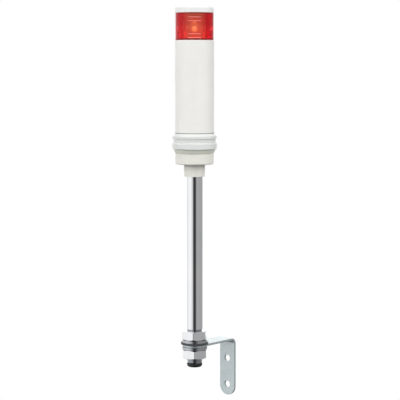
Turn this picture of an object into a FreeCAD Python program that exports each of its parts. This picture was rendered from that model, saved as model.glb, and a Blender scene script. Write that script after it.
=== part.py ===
"""Stack light: a red signal tier and its electronics body on a plated pole, held by an L-shaped wall bracket.

Millimetres, +Z up. The origin lies on the wall face, midway between the bracket's two screw holes.
The wall is at +Y and the pole stands in front of it, at -Y.
"""
import FreeCAD
import Part
import math
import os

V = FreeCAD.Vector

# Wall bracket, one folded sheet
sheet = 2.3                  # sheet thickness
bracket_width = 20.0         # width of arm and leg
bend_r = 2.0                 # inner radius of the bend
arm_reach = 55.0             # wall face to pole axis
head_rim = -0.5              # edge of the arm's round head beyond the washer
head_blend_r = 6.0           # hollow corner between the head and the arm
leg_hole_d = 7.0             # screw holes for the wall
leg_hole_gap = 28.0          # between the two screw holes
leg_hole_drop = 22.5         # top face of the arm to the upper hole
leg_hole_lift = 11.5         # lowest point of the leg to the lower hole

# Clamp: packing, washers and nuts on the threaded end of the pole
thread_d = 16.0
nut_wall = 4.0               # from the thread to a flat of the nut
nut_h = 9.5
nut_face = 0.96              # flat end face of a nut, as a share of its flats
washer_rim = 1.0             # edge of a washer beyond the nut's flats
washer_t = 2.8
packing_rim = 1.2            # edge of the packing beyond the washer
packing_t = 2.0
upper_nut_turn = 3.7         # degrees from +X to a corner of the nut
lower_nut_turn = 10.0
thread_above = 1.2           # thread showing above the upper nut
thread_below = 5.0           # thread showing below the lower nut
thread_lead_in = 0.7         # chamfer at each end of the pole

# Pole and the bush in its lower end
pole_shoulder = 0.5          # step from the thread out to the plain pole
pole_wall = 2.25             # at the thread
pole_show = 159.2            # plain pole, from the upper nut to the neck
bush_inset = 0.1             # edge of the bush's flange inside the thread
bush_flange_h = 4.0
bush_flange_r = 2.4          # rounding of the flange's lower edge
bush_spigot_h = 8.0
bush_spigot_edge = 0.5
bush_bore = 8.0              # passes the supply cable

# Diameters of body and signal tier
body_d = 40.0
lens_inset = 0.5             # lens inside the line of the body
cap_inset = 0.25
adapter_inset = 0.35

# Pole adapter: neck below, cup above
neck_h = 12.7
neck_foot_wall = 1.9         # round the pole
neck_top_wall = 2.5
pole_in_neck = 10.0          # depth to which the full pole enters the neck
adapter_h = 10.9             # cup that shows below the collar
adapter_wall = 1.6
adapter_floor = 3.2
adapter_edge = 1.2           # chamfer round the cup's foot
ring_nut_wall = 2.2
ring_nut_h = 4.5
ring_nut_slots = 4
ring_nut_slot = 3.0
ring_nut_slot_depth = 1.2
pole_over_ring_nut = 1.6

# Base collar, with how far each form stands out from the body
collar_h = 20.5
flange_top_out = 0.5
flange_out = 2.65
flange_r = 1.4               # rounding of the flange's upper edge
groove_out = 1.7
rib_out = 2.9                # lower ring of the collar
rib_edge = 0.8
skirt_rise = 1.4             # how far the skirt stands in from the rib
flange_h = 5.1               # top of the collar to the groove
groove_h = 4.4
rib_h = 6.7
collar_floor = 2.5
collar_floor_lift = 6.0      # from the collar's foot to the underside of its floor
wire_bore = 19.0             # wire opening in the collar's floor and the body's ledge
base_screw_count = 3
base_boss_gap = 0.4          # bosses for the base screws to the ring nut and to the cup's wall

# Body tube and what it holds
seal_t = 0.6
seal_out = 0.1               # edge of the flat seal beyond the body
body_h = 93.8
body_wall = 2.0
body_spigot_h = 6.0
deck_t = 2.0                 # ledge near the top of the body
deck_root = 3.0              # height of the sloping underside of the ledge
deck_drop = 1.5              # top face of the ledge below the shoulder for the lens
guide_depth = 3.0            # rib pairs that hold the driver board
guide_t = 1.4
guide_lift = 8.0
guide_top_gap = 9.8          # guides' upper end below the body's top
board_t = 1.6
board_set_back = 4.0         # from the axis to the front face of the driver board
board_top_gap = 6.0          # driver board's upper edge below the end of its guides

# Parts on the driver board; across is from its middle, lift from its lower edge
can_d = 10.0                 # electrolytic capacitor
can_length = 12.0
can_crimp = 0.5
can_across = -5.5
can_lift = 50.0
terminal_w = 11.0            # two-way screw terminal
terminal_depth = 8.5
terminal_h = 9.0
terminal_lift = 4.0
terminal_mouth = 3.2         # square wire mouths in its foot
terminal_mouth_depth = 5.0
terminal_front_wall = 2.0
terminal_screw_r = 1.9
terminal_screw_depth = 1.5
# Rectifier, regulator, choke, timer, resistor: across, lift, width, height, thickness
chips = ((6.5, 20, 6.6, 6.2, 2.6), (-7, 24, 5.0, 4.4, 1.6), (5, 35, 7.6, 7.6, 4.2),
         (6, 54, 9.0, 5.2, 2.0), (-6.5, 36, 3.2, 6.4, 1.4))

# Signal tier
lens_h = 27.6
lens_wall = 2.2
belt_half = 4.6              # half height of the lens belt at mid height
belt_depth = 1.8             # how far the belt bulges inwards
belt_edge_share = 0.35       # of that depth, at the belt's two edges
prism_count = 2              # ring prisms above and below the belt
prism_depth = 1.3
spigot_h = 2.4               # spigots of body and cap inside the lens
spigot_wall = 2.5
seal_size = 1.4              # square rubber rings in the spigots' grooves
cap_h = 8.2
cap_wall = 2.0
cap_edge_r = 3.4
cap_dome = 0.8               # rise of the cap's top
cap_boss_wall = 1.5
cap_boss_drop = 3.4          # bosses for the long screws, below the top of the lens

# Light source
holder_t = 2.4
post_side = 12.0             # square post that carries the light boards
post_wall = 1.6
post_top_gap = 5.6           # top of the post below the top of the lens, less the holder's plate
led_board_margin = 1.5       # board's ends to the post's ends
led_board_side = 0.7         # board's edges to the post's edges
led_board_t = 1.0
led_size = 5.0
led_t = 1.6
led_rim = 0.6                # frame of a package, and depth of its window
led_rows = 3
led_end_gap = 1.0            # outer packages to the ends of their board

# Fasteners
screw_d = 3.0                # base screws and the two long screws
tie_edge = 0.7               # from a long screw to the edge of the holder's plate
tie_engage = 5.0             # depth in the cap's bosses
base_screw_grip = 9.0        # length in the collar's bosses
head_ratio = 1.85            # screw head to shank
head_h = 2.0
head_edge = 0.8
driver_slot = 0.8            # width of the slot in a screw head
driver_slot_depth = 0.9
blind_gap = 0.7              # from the end of a screw to the bottom of its hole

# Clearances
fit = 0.1                    # plastic and metal parts that slip together
seal_slack = 0.05            # rubber rings to their seats
thread_fit = 0.05            # radial, thread to nut, as the solids have no thread form
hole_slack = 0.4             # radial, washers, packing and bracket round the thread
screw_slack = 0.3            # radial, screws through plain holes

head_turn = 41.0             # front of the light, turned from the bracket's own front

# Sizes that follow from the ones above
pole_d = thread_d + 2 * pole_shoulder
pole_bore = thread_d - 2 * pole_wall
nut_flats = thread_d + 2 * nut_wall
washer_d = nut_flats + 2 * washer_rim
packing_d = washer_d + 2 * packing_rim
head_d = washer_d + 2 * head_rim
lens_d = body_d - 2 * lens_inset
cap_d = body_d - 2 * cap_inset
adapter_d = body_d - 2 * adapter_inset
ring_nut_d = thread_d + 2 * ring_nut_wall
cup_r = adapter_d / 2 - adapter_wall - fit
cup_inner = cup_r - adapter_wall
spigot_r = lens_d / 2 - lens_wall - fit
spigot_inner = spigot_r - spigot_wall
seal_groove_r = spigot_r - seal_size
plate_r = spigot_inner - fit
base_screw_radius = (ring_nut_d / 2 + cup_inner) / 2
base_boss_r = (cup_inner - ring_nut_d / 2) / 2 - base_boss_gap
tie_radius = plate_r - tie_edge - screw_d / 2
thread_bore_r = thread_d / 2 + thread_fit
loose_bore_r = thread_d / 2 + hole_slack
pilot_r = screw_d / 2 + thread_fit
post_h = lens_h - post_top_gap
led_board_w = post_side - 2 * led_board_side
led_board_h = post_h - 2 * led_board_margin
led_pitch = (led_board_h - led_size - 2 * led_end_gap) / (led_rows - 1)

# Heights, from the wall holes up and down
arm_top = leg_hole_drop + leg_hole_gap / 2
arm_bottom = arm_top - sheet
leg_foot = -leg_hole_gap / 2 - leg_hole_lift
upper_washer_z = arm_top + packing_t
upper_nut_z = upper_washer_z + washer_t
upper_nut_top = upper_nut_z + nut_h
lower_washer_z = arm_bottom - washer_t
lower_nut_z = lower_washer_z - nut_h
pole_foot = lower_nut_z - thread_below
neck_foot = upper_nut_top + pole_show
adapter_foot = neck_foot + neck_h
adapter_floor_top = adapter_foot + adapter_floor
collar_foot = adapter_foot + adapter_h
tie_z = collar_foot + collar_floor_lift
collar_floor_top = tie_z + collar_floor
collar_top = collar_foot + collar_h
body_foot = collar_top + seal_t
body_top = body_foot + body_h
deck_top = body_top - deck_drop
guide_z = body_foot + guide_lift
guide_top = body_top - guide_top_gap
board_top = guide_top - board_top_gap
lens_top = body_top + lens_h
cap_top = lens_top + cap_h
pole_top = adapter_floor_top + ring_nut_h + pole_over_ring_nut
led_board_foot = deck_top + holder_t + led_board_margin


def rounded_corner(before, corner, after, radius):
    """Ends and edge of a rounding of this radius."""
    a = (before - corner).normalize()
    b = (after - corner).normalize()
    half = a.getAngle(b) / 2
    first = corner + a * (radius / math.tan(half))
    last = corner + b * (radius / math.tan(half))
    middle = (a + b).normalize()
    centre = corner + middle * (radius / math.sin(half))
    return first, last, Part.Arc(first, centre - middle * radius, last).toShape()


def cut_corner(before, corner, after, setback):
    """Ends and edge of a chamfer that starts this far from the corner."""
    first = corner + (before - corner).normalize() * setback
    last = corner + (after - corner).normalize() * setback
    return first, last, Part.LineSegment(first, last).toShape()


def outline(points):
    """Closed face from (x, y, r) corners in the XY plane: r rounds a corner, -r chamfers it, 0 is sharp."""
    corners = [V(x, y, 0) for x, y, r in points]
    count = len(points)
    edges = []
    starts = []
    ends = []
    for i in range(count):
        r = points[i][2]
        first = last = corners[i]
        if r != 0:
            shape_corner = rounded_corner if r > 0 else cut_corner
            first, last, edge = shape_corner(corners[i - 1], corners[i], corners[(i + 1) % count], abs(r))
            edges.append(edge)
        starts.append(first)
        ends.append(last)
    for i in range(count):
        following = starts[(i + 1) % count]
        if ends[i].distanceToPoint(following) > 1e-6:
            edges.append(Part.LineSegment(ends[i], following).toShape())
    return Part.Face(Part.Wire(Part.__sortEdges__(edges)))


def turned(points):
    """Solid of revolution about Z from (radius, height, rounding) corners."""
    face = outline(points)
    face.rotate(V(0, 0, 0), V(1, 0, 0), 90)
    return face.revolve(V(0, 0, 0), V(0, 0, 1), 360)


def ring(outer_r, inner_r, foot, top, edge=0.0):
    """Plain ring, with its outer corners chamfered by edge."""
    return turned([(inner_r, foot, 0), (outer_r, foot, -edge), (outer_r, top, -edge), (inner_r, top, 0)])


def rod(radius, foot, top, x=0.0, y=0.0):
    return Part.makeCylinder(radius, top - foot, V(x, y, foot))


def block(x0, x1, y0, y1, z0, z1):
    return Part.makeBox(x1 - x0, y1 - y0, z1 - z0, V(x0, y0, z0))


def turned_about_z(shape, angle):
    copy = shape.copy()
    copy.rotate(V(0, 0, 0), V(0, 0, 1), angle)
    return copy


def head_front(shape):
    """Turn a shape of the light's head from facing -Y to its real front."""
    return turned_about_z(shape, head_turn)


def tie_places():
    return [(side * tie_radius, 0.0) for side in (-1, 1)]


def base_screw_places():
    step = 2 * math.pi / base_screw_count
    return [(base_screw_radius * math.sin(k * step), base_screw_radius * math.cos(k * step))
            for k in range(base_screw_count)]


def hex_nut(foot, corner_angle):
    """Hexagon nut with the corners of both ends turned off."""
    corner_r = nut_flats / math.sqrt(3)
    corners = [V(corner_r * math.cos(math.radians(corner_angle + 60 * k)),
                 corner_r * math.sin(math.radians(corner_angle + 60 * k)), foot) for k in range(6)]
    blank = Part.Face(Part.makePolygon(corners + corners[:1])).extrude(V(0, 0, nut_h))
    face_r = nut_flats / 2 * nut_face
    drop = (corner_r - face_r) * math.tan(math.radians(30))
    top = foot + nut_h
    form = turned([(thread_bore_r, foot, 0), (face_r, foot, 0), (corner_r, foot + drop, 0),
                   (corner_r, top - drop, 0), (face_r, top, 0), (thread_bore_r, top, 0)])
    return blank.common(form)


def pan_screw(x, y, seat, length):
    """Screw whose head hangs below its seat and whose shank stands up from it."""
    head_r = screw_d * head_ratio / 2
    low = seat - head_h
    head = turned([(0, low, 0), (head_r, low, -head_edge), (head_r, seat, 0), (0, seat, 0)])
    slot = block(-head_r, head_r, -driver_slot / 2, driver_slot / 2, low, low + driver_slot_depth)
    screw = head.cut(slot).fuse(rod(screw_d / 2, seat, seat + length))
    screw.translate(V(x, y, 0))
    return screw.removeSplitter()


def make_bracket():
    """Arm with a round head, a rounded bend and a leg with a full-round end and two holes."""
    half = bracket_width / 2
    outer = bend_r + sheet
    # Side view of the folded strip, in (y, z); the wall face is y = 0.
    strip = outline([(-arm_reach, arm_bottom, 0), (-sheet, arm_bottom, bend_r), (-sheet, leg_foot, 0),
                     (0, leg_foot, 0), (0, arm_top, outer), (-arm_reach, arm_top, 0)])
    strip.rotate(V(0, 0, 0), V(1, 1, 1), 120)
    strip.translate(V(-half, 0, 0))
    bracket = strip.extrude(V(bracket_width, 0, 0))
    # Plan of the head, with hollow corners where it runs into the arm.
    head_r = head_d / 2
    blend_x = half + head_blend_r
    blend_y = math.sqrt((head_r + head_blend_r) ** 2 - blend_x ** 2)
    join = head_r / (head_r + head_blend_r)
    web = Part.Face(Part.makePolygon([
        V(-blend_x * join, blend_y * join, 0), V(-half, blend_y, 0), V(half, blend_y, 0),
        V(blend_x * join, blend_y * join, 0), V(-blend_x * join, blend_y * join, 0)])).extrude(V(0, 0, sheet))
    for side in (-1, 1):
        web = web.cut(rod(head_blend_r, 0, sheet, side * blend_x, blend_y))
    head = rod(head_r, 0, sheet).fuse(web)
    head.translate(V(0, -arm_reach, arm_bottom))
    bracket = bracket.fuse(head)
    bracket = bracket.cut(rod(loose_bore_r, arm_bottom, arm_top, 0, -arm_reach))
    # Front view of the leg, with its full-round end, cuts the strip to shape.
    end_z = leg_foot + half
    keep = block(-half, half, -sheet, 0, end_z, arm_top - outer)
    tip = Part.makeCylinder(half, sheet, V(0, -sheet, end_z), V(0, 1, 0))
    below = block(-half, half, -sheet, 0, leg_foot, arm_top - outer)
    bracket = bracket.cut(below.cut(keep.fuse(tip)))
    for z in (-leg_hole_gap / 2, leg_hole_gap / 2):
        bracket = bracket.cut(Part.makeCylinder(leg_hole_d / 2, sheet, V(0, -sheet, z), V(0, 1, 0)))
    return bracket.removeSplitter()


def make_packing():
    """Rubber ring between the bracket and the upper washer."""
    return ring(packing_d / 2, loose_bore_r, arm_top, upper_washer_z)


def make_washer(foot):
    return ring(washer_d / 2, loose_bore_r, foot, foot + washer_t)


def make_pole():
    """Tube with a turned-down thread at each end; the upper one takes the ring nut."""
    thread_r = thread_d / 2
    lead_r = thread_r - thread_lead_in
    shoulder = neck_foot + pole_in_neck
    thread_end = upper_nut_top + thread_above
    return turned([(pole_bore / 2, pole_foot, 0), (lead_r, pole_foot, 0),
                   (thread_r, pole_foot + thread_lead_in, 0), (thread_r, thread_end, 0),
                   (pole_d / 2, thread_end + pole_shoulder, 0),
                   (pole_d / 2, shoulder, 0), (thread_r, shoulder, 0),
                   (thread_r, pole_top - thread_lead_in, 0),
                   (lead_r, pole_top, 0), (pole_bore / 2, pole_top, 0)])


def make_cable_bush():
    """Rubber bush: a rounded flange under the pole's end and a spigot inside its bore."""
    lip = pole_foot - bush_flange_h
    flange = thread_d / 2 - bush_inset
    spigot = pole_bore / 2 - thread_fit
    spigot_top = pole_foot + bush_spigot_h
    return turned([(bush_bore / 2, lip, 0), (flange, lip, bush_flange_r), (flange, pole_foot, 0),
                   (spigot, pole_foot, 0), (spigot, spigot_top, -bush_spigot_edge),
                   (bush_bore / 2, spigot_top, 0)])


def make_pole_adapter():
    """Moulded cup with a tapering neck; the pole comes up through its floor."""
    outer = adapter_d / 2
    pole_way = pole_d / 2 + fit
    thread_way = thread_d / 2 + fit
    socket_top = neck_foot + pole_in_neck
    rim = tie_z - fit
    cup = turned([(pole_way, neck_foot, 0), (pole_d / 2 + neck_foot_wall, neck_foot, 0),
                  (pole_d / 2 + neck_top_wall, adapter_foot, 0), (outer, adapter_foot, -adapter_edge),
                  (outer, collar_foot, 0), (cup_r, collar_foot, 0), (cup_r, rim, 0), (cup_inner, rim, 0),
                  (cup_inner, adapter_floor_top, 0), (thread_way, adapter_floor_top, 0),
                  (thread_way, socket_top, 0), (pole_way, socket_top, 0)])
    for x, y in base_screw_places():
        cup = cup.cut(rod(screw_d / 2 + screw_slack, adapter_foot, adapter_floor_top, x, y))
        cup = cup.cut(rod(screw_d * head_ratio / 2 + screw_slack, adapter_foot, adapter_foot + head_h, x, y))
    return head_front(cup)


def make_ring_nut():
    """Round nut with four spanner slots that pulls the pole's shoulder into the neck."""
    top = adapter_floor_top + ring_nut_h
    nut = ring(ring_nut_d / 2, thread_bore_r, adapter_floor_top, top)
    slot = block(-ring_nut_slot / 2, ring_nut_slot / 2, ring_nut_d / 2 - ring_nut_slot_depth, ring_nut_d,
                 adapter_floor_top, top)
    for k in range(ring_nut_slots):
        nut = nut.cut(turned_about_z(slot, (k + 0.5) * 360 / ring_nut_slots))
    return head_front(nut)


def make_collar():
    """Base moulding: flared flange, groove and rounded rib outside; floor and bosses inside."""
    line = body_d / 2
    groove_top = collar_top - flange_h
    rib_top = groove_top - groove_h
    rib_foot = rib_top - rib_h
    flange_side = collar_top - flange_h / 2
    skirt_r = cup_r + fit
    socket_r = line - body_wall + fit / 2
    collar = turned([(skirt_r, collar_foot, 0), (adapter_d / 2 + fit, collar_foot, 0),
                     (line + rib_out - skirt_rise, rib_foot, 0), (line + rib_out, rib_foot + rib_edge, 0),
                     (line + rib_out, rib_top, -rib_edge), (line + groove_out, rib_top, 0),
                     (line + groove_out, groove_top, 0), (line + flange_out, groove_top, 0),
                     (line + flange_out, flange_side, flange_r), (line + flange_top_out, collar_top, 0),
                     (socket_r, collar_top, 0), (socket_r, collar_floor_top, 0),
                     (wire_bore / 2, collar_floor_top, 0), (wire_bore / 2, tie_z, 0), (skirt_r, tie_z, 0)])
    for x, y in base_screw_places():
        boss = rod(base_boss_r, adapter_floor_top, tie_z, x, y)
        pilot = rod(pilot_r, adapter_floor_top, adapter_floor_top + base_screw_grip + blind_gap, x, y)
        collar = collar.fuse(boss).cut(pilot)
    for x, y in tie_places():
        collar = collar.cut(rod(screw_d / 2 + screw_slack, tie_z, collar_floor_top, x, y))
    return head_front(collar)


def make_base_screws():
    seat = adapter_foot + head_h
    length = adapter_floor_top - seat + base_screw_grip
    return head_front(Part.makeCompound([pan_screw(x, y, seat, length) for x, y in base_screw_places()]))


def make_tie_screws():
    length = lens_top - cap_boss_drop - tie_z + tie_engage
    return head_front(Part.makeCompound([pan_screw(x, y, tie_z, length) for x, y in tie_places()]))


def make_body_seal():
    """Flat rubber seal whose edge shows as the dark line under the body."""
    return ring(body_d / 2 + seal_out, body_d / 2 - body_wall + fit / 2, collar_top, body_foot)


def spigot_profile(foot, top, groove_foot):
    """Corners, going up, of a spigot's outside with the groove for its rubber ring."""
    groove_top = groove_foot + seal_size
    return [(spigot_r, foot, 0), (spigot_r, groove_foot, 0), (seal_groove_r, groove_foot, 0),
            (seal_groove_r, groove_top, 0), (spigot_r, groove_top, 0), (spigot_r, top, 0)]


def make_body_tube():
    """Tube with a spigot at each end, a ledge for the light source and guides for the driver board."""
    outer = body_d / 2
    inner = outer - body_wall
    low_r = inner - fit / 2
    low_z = body_foot - body_spigot_h
    deck_foot = deck_top - deck_t
    tube = turned([(low_r - body_wall, low_z, 0), (low_r, low_z, 0), (low_r, body_foot, 0),
                   (outer, body_foot, 0), (outer, body_top, 0)]
                  + spigot_profile(body_top, body_top + spigot_h, body_top + (spigot_h - seal_size) / 2)
                  + [(spigot_inner, body_top + spigot_h, 0), (spigot_inner, deck_top, 0),
                     (wire_bore / 2, deck_top, 0), (wire_bore / 2, deck_foot, 0),
                     (inner, deck_foot - deck_root, 0), (inner, body_foot + body_wall, 0),
                     (low_r - body_wall, body_foot, 0)])
    for x, y in tie_places():
        tube = tube.cut(rod(screw_d / 2 + screw_slack, deck_foot - deck_root, deck_top, x, y))
    back = board_set_back + board_t + fit
    rib_x = math.sqrt((inner - guide_depth) ** 2 - board_set_back ** 2)
    for y0 in (board_set_back - fit - guide_t, back):
        for side in (-1, 1):
            rib = block(min(side * rib_x, side * outer), max(side * rib_x, side * outer), y0, y0 + guide_t,
                        guide_z, guide_top)
            tube = tube.fuse(rib.common(rod(inner + body_wall / 2, guide_z, guide_top)))
    return head_front(tube.removeSplitter())


def make_driver_board():
    """Circuit board that slides between the guide ribs."""
    inner = body_d / 2 - body_wall
    half = math.sqrt(inner ** 2 - (board_set_back + board_t) ** 2) - fit
    return head_front(block(-half, half, board_set_back, board_set_back + board_t, guide_z, board_top))


def make_capacitor():
    """Electrolytic can standing off the front of the driver board, crimped round its foot."""
    radius = can_d / 2
    can = turned([(0, 0, 0), (radius, 0, 0), (radius, 4 * can_crimp, 0),
                  (radius - can_crimp, 5 * can_crimp, 0), (radius, 6 * can_crimp, 0),
                  (radius, can_length, 0), (0, can_length, 0)])
    can.rotate(V(0, 0, 0), V(1, 0, 0), 90)
    can.translate(V(can_across, board_set_back, guide_z + can_lift))
    return head_front(can)


def make_terminal_block():
    """Two-way screw terminal at the foot of the driver board."""
    half = terminal_w / 2
    foot = guide_z + terminal_lift
    front = board_set_back - terminal_depth
    mouth_y = front + terminal_front_wall
    mouth_top = foot + terminal_mouth_depth
    body = block(-half, half, front, board_set_back, foot, foot + terminal_h)
    for x in (-half / 2, half / 2):
        body = body.cut(block(x - terminal_mouth / 2, x + terminal_mouth / 2,
                              mouth_y, mouth_y + terminal_mouth, foot, mouth_top))
        body = body.cut(Part.makeCylinder(terminal_screw_r, terminal_screw_depth, V(x, front, mouth_top),
                                          V(0, 1, 0)))
    return head_front(body)


def make_board_chips():
    return head_front(Part.makeCompound([
        block(x - width / 2, x + width / 2, board_set_back - depth, board_set_back,
              guide_z + lift, guide_z + lift + height) for x, lift, width, height, depth in chips]))


def make_led_holder():
    """White moulded plate on the body's ledge, with a hollow square post for the light boards."""
    half = post_side / 2
    hollow = half - post_wall
    plate_top = deck_top + holder_t
    holder = rod(plate_r, deck_top, plate_top)
    holder = holder.fuse(block(-half, half, -half, half, deck_top, plate_top + post_h))
    holder = holder.cut(block(-hollow, hollow, -hollow, hollow, deck_top, plate_top + post_h - post_wall))
    for x, y in tie_places():
        holder = holder.cut(rod(screw_d / 2 + screw_slack, deck_top, plate_top, x, y))
    return head_front(holder)


def make_led_boards():
    half = post_side / 2
    board = block(-led_board_w / 2, led_board_w / 2, -half - led_board_t, -half,
                  led_board_foot, led_board_foot + led_board_h)
    return head_front(Part.makeCompound([turned_about_z(board, 90 * k) for k in range(4)]))


def make_leds():
    """Square light packages, in a column on each board, each with a sunk window."""
    face = -post_side / 2 - led_board_t
    front = face - led_t
    half = led_size / 2
    pane = half - led_rim
    leds = []
    for k in range(4):
        for row in range(led_rows):
            z = led_board_foot + led_end_gap + half + row * led_pitch
            led = block(-half, half, front, face, z - half, z + half)
            window = block(-pane, pane, front, front + led_rim, z - pane, z + pane)
            leds.append(turned_about_z(led.cut(window), 90 * k))
    return head_front(Part.makeCompound(leds))


def make_spigot_seal(middle_z):
    """Lathe-cut rubber ring in a spigot's groove, closed against the lens."""
    half = seal_size / 2 - seal_slack
    outer = lens_d / 2 - lens_wall - seal_slack
    return ring(outer, seal_groove_r + seal_slack, middle_z - half, middle_z + half)


def make_lens():
    """Smooth outside; inside, a convex belt at mid height with stepped ring prisms above and below."""
    outer = lens_d / 2
    inner = outer - lens_wall
    middle = (body_top + lens_top) / 2
    reach = lens_h / 2 - spigot_h - fit
    step = (reach - belt_half) / prism_count
    belt_edge = inner - belt_depth * belt_edge_share
    belt_low = V(belt_edge, middle - belt_half, 0)
    belt_high = V(belt_edge, middle + belt_half, 0)
    belt_mid = V(inner - belt_depth, middle, 0)
    points = [V(inner, body_top, 0)]
    for k in range(prism_count, 0, -1):
        points.append(V(inner, middle - belt_half - k * step, 0))
        points.append(V(inner - prism_depth, middle - belt_half - (k - 1) * step, 0))
    upper = [V(p.x, 2 * middle - p.y, 0) for p in reversed(points)]
    left = [V(outer, lens_top, 0), V(outer, body_top, 0)]
    edges = [Part.makePolygon(left + points + [belt_low]).Edges,
             [Part.Arc(belt_low, belt_mid, belt_high).toShape()],
             Part.makePolygon([belt_high] + upper + left[:1]).Edges]
    face = Part.Face(Part.Wire(edges[0] + edges[1] + edges[2]))
    face.rotate(V(0, 0, 0), V(1, 0, 0), 90)
    return face.revolve(V(0, 0, 0), V(0, 0, 1), 360)


def make_cap():
    """Shallow domed cap with a spigot in the lens and two bosses for the long screws."""
    outer = cap_d / 2
    foot = lens_top - spigot_h
    roof = cap_top - cap_wall - cap_dome
    shell = turned([(spigot_inner, foot, 0)]
                   + spigot_profile(foot, lens_top, lens_top - (spigot_h + seal_size) / 2)
                   + [(outer, lens_top, 0), (outer, cap_top - cap_dome, cap_edge_r), (0, cap_top, 0),
                      (0, roof, 0), (spigot_inner, roof, 0)])
    boss_foot = lens_top - cap_boss_drop
    for x, y in tie_places():
        shell = shell.fuse(rod(screw_d / 2 + cap_boss_wall, boss_foot, roof + cap_wall / 4, x, y))
        shell = shell.cut(rod(pilot_r, boss_foot, boss_foot + tie_engage + blind_gap, x, y))
    return head_front(shell.removeSplitter())


def export(name, shape, on_pole=True):
    placed = shape.copy()
    if on_pole:
        placed.translate(V(0, -arm_reach, 0))
    placed.exportStep("parts/" + name + ".step")


os.makedirs("parts", exist_ok=True)

export("wall_bracket", make_bracket(), on_pole=False)
export("rubber_packing", make_packing())
export("upper_washer", make_washer(upper_washer_z))
export("upper_nut", hex_nut(upper_nut_z, upper_nut_turn))
export("lower_washer", make_washer(lower_washer_z))
export("lower_nut", hex_nut(lower_nut_z, lower_nut_turn))
export("pole", make_pole())
export("cable_bush", make_cable_bush())
export("pole_adapter", make_pole_adapter())
export("ring_nut", make_ring_nut())
export("base_collar", make_collar())
export("base_screws", make_base_screws())
export("tie_screws", make_tie_screws())
export("body_seal", make_body_seal())
export("body_tube", make_body_tube())
export("driver_board", make_driver_board())
export("capacitor", make_capacitor())
export("terminal_block", make_terminal_block())
export("board_chips", make_board_chips())
export("led_holder", make_led_holder())
export("led_boards", make_led_boards())
export("leds", make_leds())
export("lens_seal", make_spigot_seal(body_top + spigot_h / 2))
export("cap_seal", make_spigot_seal(lens_top - spigot_h / 2))
export("red_lens", make_lens())
export("top_cap", make_cap())
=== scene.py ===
import math
from functools import partial

import bmesh
import bpy
from mathutils import Matrix, Vector


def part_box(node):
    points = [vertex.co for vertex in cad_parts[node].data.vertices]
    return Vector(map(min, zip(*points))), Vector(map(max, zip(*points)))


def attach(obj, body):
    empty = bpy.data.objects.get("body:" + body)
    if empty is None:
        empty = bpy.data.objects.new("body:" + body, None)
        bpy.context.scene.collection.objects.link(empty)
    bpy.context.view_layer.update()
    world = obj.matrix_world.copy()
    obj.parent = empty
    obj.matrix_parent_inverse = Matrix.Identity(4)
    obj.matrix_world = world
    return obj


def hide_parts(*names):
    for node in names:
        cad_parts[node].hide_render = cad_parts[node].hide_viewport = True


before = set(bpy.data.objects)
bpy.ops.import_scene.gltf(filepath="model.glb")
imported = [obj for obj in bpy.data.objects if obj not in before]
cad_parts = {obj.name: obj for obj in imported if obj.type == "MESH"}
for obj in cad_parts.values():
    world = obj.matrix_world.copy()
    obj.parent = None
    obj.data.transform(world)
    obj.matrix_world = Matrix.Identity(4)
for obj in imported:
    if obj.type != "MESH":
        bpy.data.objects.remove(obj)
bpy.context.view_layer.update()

# --- Wall bracket -----------------------------------------------------------------------------
# One strip of 2.3 mm steel, blanked with its round head, full-round end and three holes, tumbled
# so that its edges are soft, folded once and zinc plated. Two screws hold its leg to the wall.

MM = 0.001


def tint(red, green, blue):
    """Linear colour from the everyday 0 to 255 scale."""
    values = []
    for value in (red, green, blue):
        share = value / 255
        values.append(share / 12.92 if share <= 0.04045 else ((share + 0.055) / 1.055) ** 2.4)
    return (*values, 1.0)


def plug(socket, value):
    """Sets a node's input to a value, or links it to another node's output."""
    if isinstance(value, bpy.types.NodeSocket):
        socket.id_data.links.new(value, socket)
    else:
        socket.default_value = value


def feed(node, **inputs):
    """Plugs some of a node's inputs, by name."""
    for name, value in inputs.items():
        plug(node.inputs[name.replace("_", " ")], value)


def put(tree, kind, **words):
    """Adds a node; words naming its settings set them, the rest plug its inputs by name."""
    node = tree.nodes.new(kind)
    for name, value in words.items():
        if hasattr(node, name):
            setattr(node, name, value)
        else:
            feed(node, **{name: value})
    return node


def new_tree(kind, name, inputs, outputs):
    """Node tree, what it is given and its end. Inputs have a number or a kind, outputs a kind."""
    tree = bpy.data.node_groups.new(name, kind)
    for label, value in inputs.items():
        sort = {float: "Float", int: "Int"}.get(type(value), value)
        socket = tree.interface.new_socket(name=label, in_out="INPUT",
                                           socket_type="NodeSocket" + sort)
        if sort != value:
            socket.default_value = value
    for label, sort in outputs.items():
        tree.interface.new_socket(name=label, in_out="OUTPUT", socket_type="NodeSocket" + sort)
    return tree, tree.nodes.new("NodeGroupInput").outputs, tree.nodes.new("NodeGroupOutput")


def plating_marks_group():
    """Fine tumbling marks, soft stains and a faint ripple, for anything plated."""
    group, given, out = new_tree(
        "ShaderNodeTree", "plating marks",
        {"Streak Across": 900.0, "Streak Along": 60.0, "Stain Size": 40.0, "Depth": 0.1},
        {"Stain": "Float", "Streak": "Float", "Normal": "Vector"})
    place = put(group, "ShaderNodeTexCoord").outputs["Object"]
    scale = put(group, "ShaderNodeCombineXYZ", X=given["Streak Across"], Y=given["Streak Across"],
                Z=given["Streak Along"])
    stretch = put(group, "ShaderNodeMapping", Vector=place, Scale=scale.outputs["Vector"])
    streak = put(group, "ShaderNodeTexNoise", Vector=stretch.outputs["Vector"], Scale=1.0, Detail=3.0,
                 Roughness=0.6).outputs["Fac"]
    stain = put(group, "ShaderNodeTexNoise", Vector=place, Scale=given["Stain Size"], Detail=4.0,
                Roughness=0.62).outputs["Fac"]
    bump = put(group, "ShaderNodeBump", Strength=given["Depth"], Distance=0.2 * MM, Height=streak)
    feed(out, Stain=stain, Streak=streak, Normal=bump.outputs["Normal"])
    return group


plating_marks = plating_marks_group()


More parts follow.
